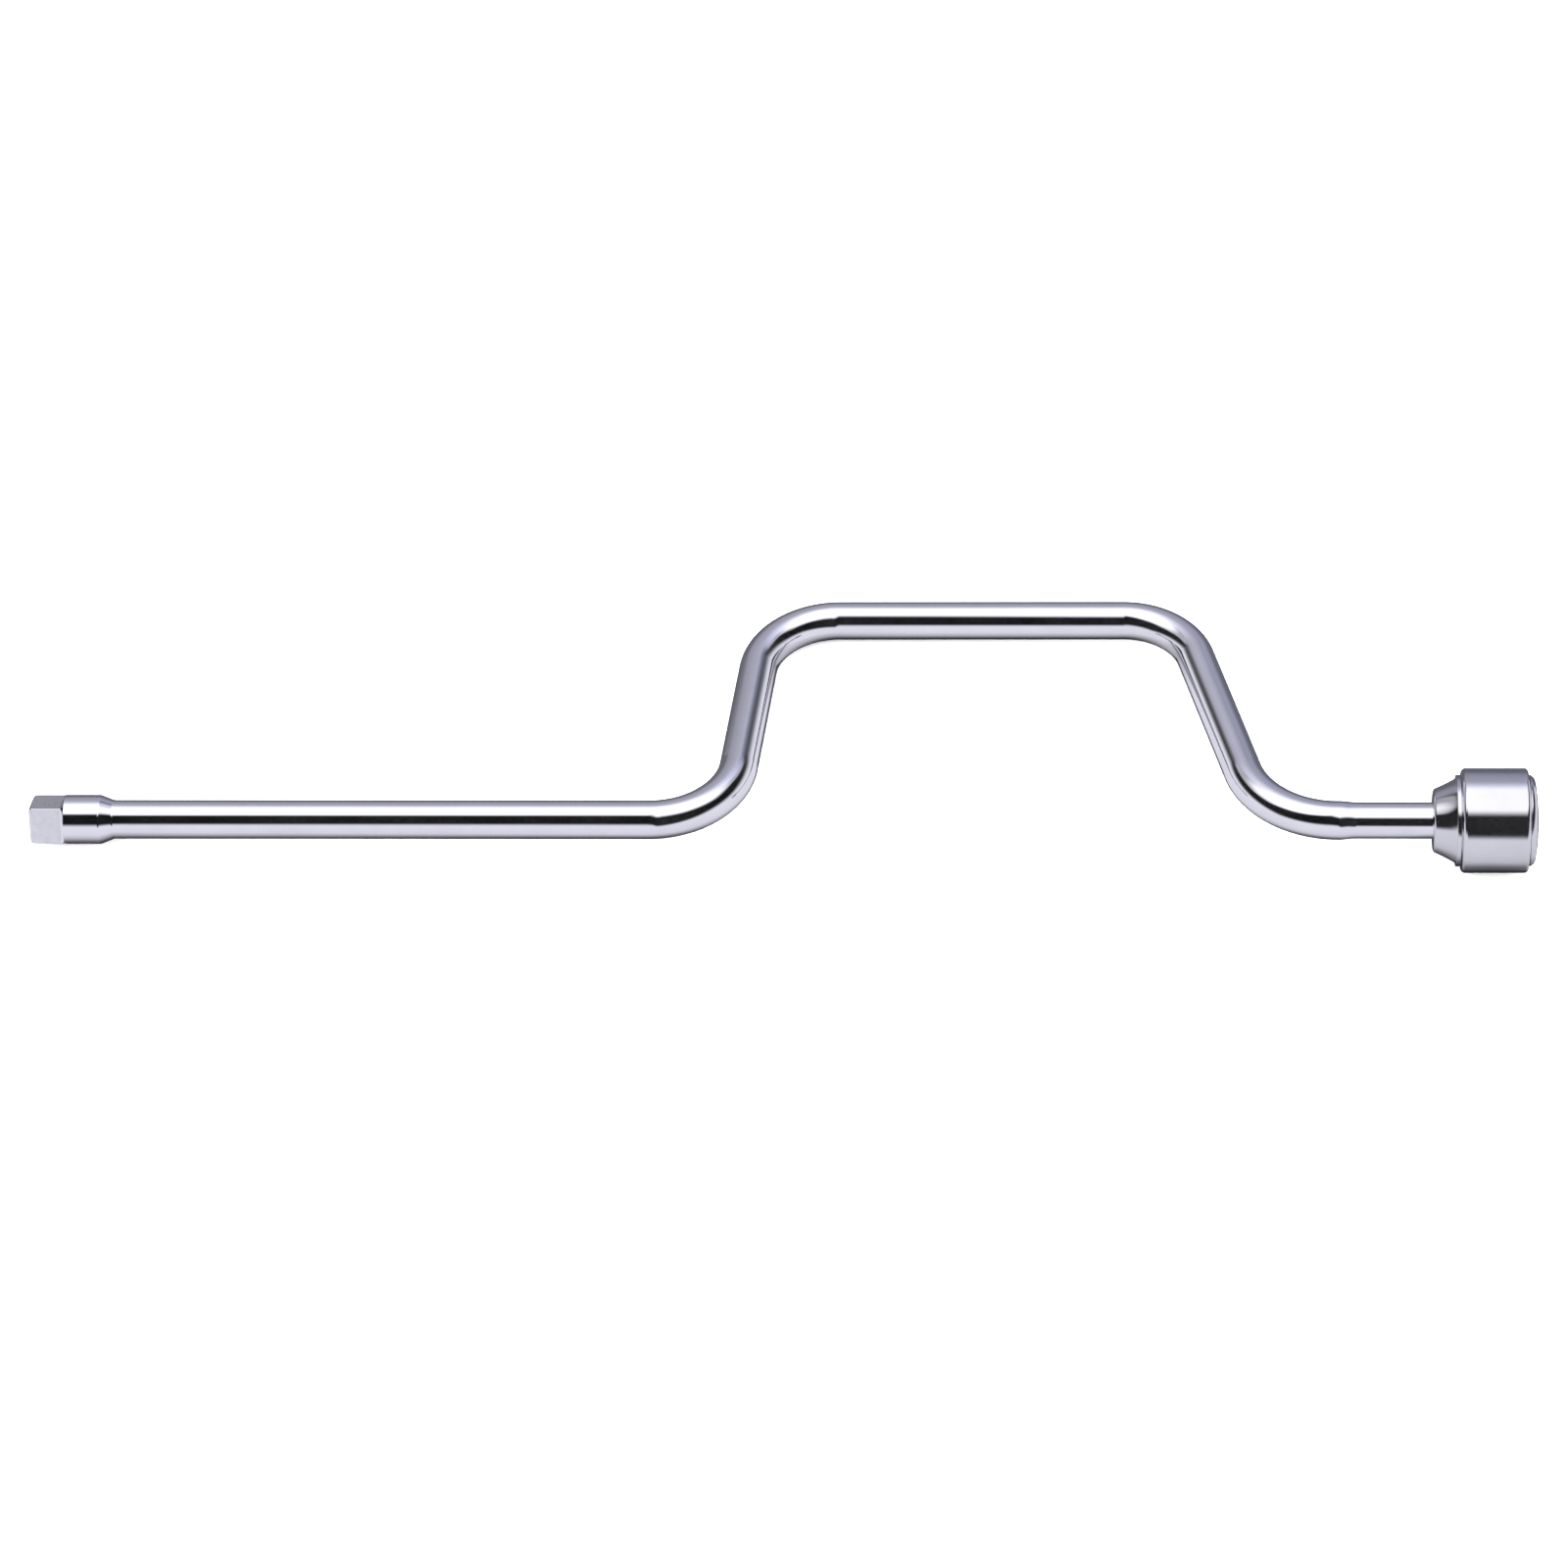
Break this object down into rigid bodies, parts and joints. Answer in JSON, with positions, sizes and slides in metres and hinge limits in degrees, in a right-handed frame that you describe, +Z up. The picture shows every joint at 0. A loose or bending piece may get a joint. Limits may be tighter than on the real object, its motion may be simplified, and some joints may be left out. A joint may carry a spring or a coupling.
{
  "type": "speed brace",
  "caption": "Cranked chrome speed brace: a male square drive with a sprung detent ball, one bent round bar with a bare grip, and a palm knob that turns freely on the bar's end.",
  "frame": {"origin": "middle of the tool's base, as it rests on a table on a corner of its square, its crank and its knob", "axes": "+X from the drive to the knob, +Y from the tool's axis towards the crank, +Z up; the tool's axis rises 1.1 degrees towards the knob and the crank dips 3.8 degrees, as it lies"},
  "size_m": [0.5086, 0.1256, 0.0356],
  "materials": {
    "bar_chrome": "bright chrome plate on polished steel, satin on the milled flats of the square",
    "knob_chrome": "bright chrome plate on turned steel",
    "ferrule_chrome": "bright chrome plate on turned steel",
    "cap_chrome": "bright chrome plate on pressed steel",
    "bearing_steel": "hardened and ground steel",
    "spring_steel": "dark oiled spring steel",
    "bush_bronze": "plain bearing bronze"
  },
  "bodies": {
    "bar": {"crank_bar": "bar_chrome", "detent_spring": "spring_steel", "retaining_washer": "bearing_steel", "retaining_clip": "spring_steel", "thrust_ball": "bearing_steel"},
    "detent": {"detent_ball": "bearing_steel"},
    "knob": {"knob_shell": "knob_chrome", "front_ferrule": "ferrule_chrome", "front_bush": "bush_bronze", "rear_bush": "bush_bronze", "end_cap": "cap_chrome", "thrust_seat": "bearing_steel"}
  },
  "joints": [
    {"name": "knob_spin", "type": "hinge", "parent": "bar", "child": "knob", "pos_m": [0.21917, -0.0452, 0.01742], "axis": [0.9998, 0, 0.0193], "continuous": true},
    {"name": "detent_press", "type": "slide", "parent": "bar", "child": "detent", "axis": [-0.008, -0.9111, 0.4122], "range_m": [0, 0.0009], "stiffness_N_per_m": 2000, "springref_m": -0.0015, "deforming": ["detent_spring"]}
  ]
}
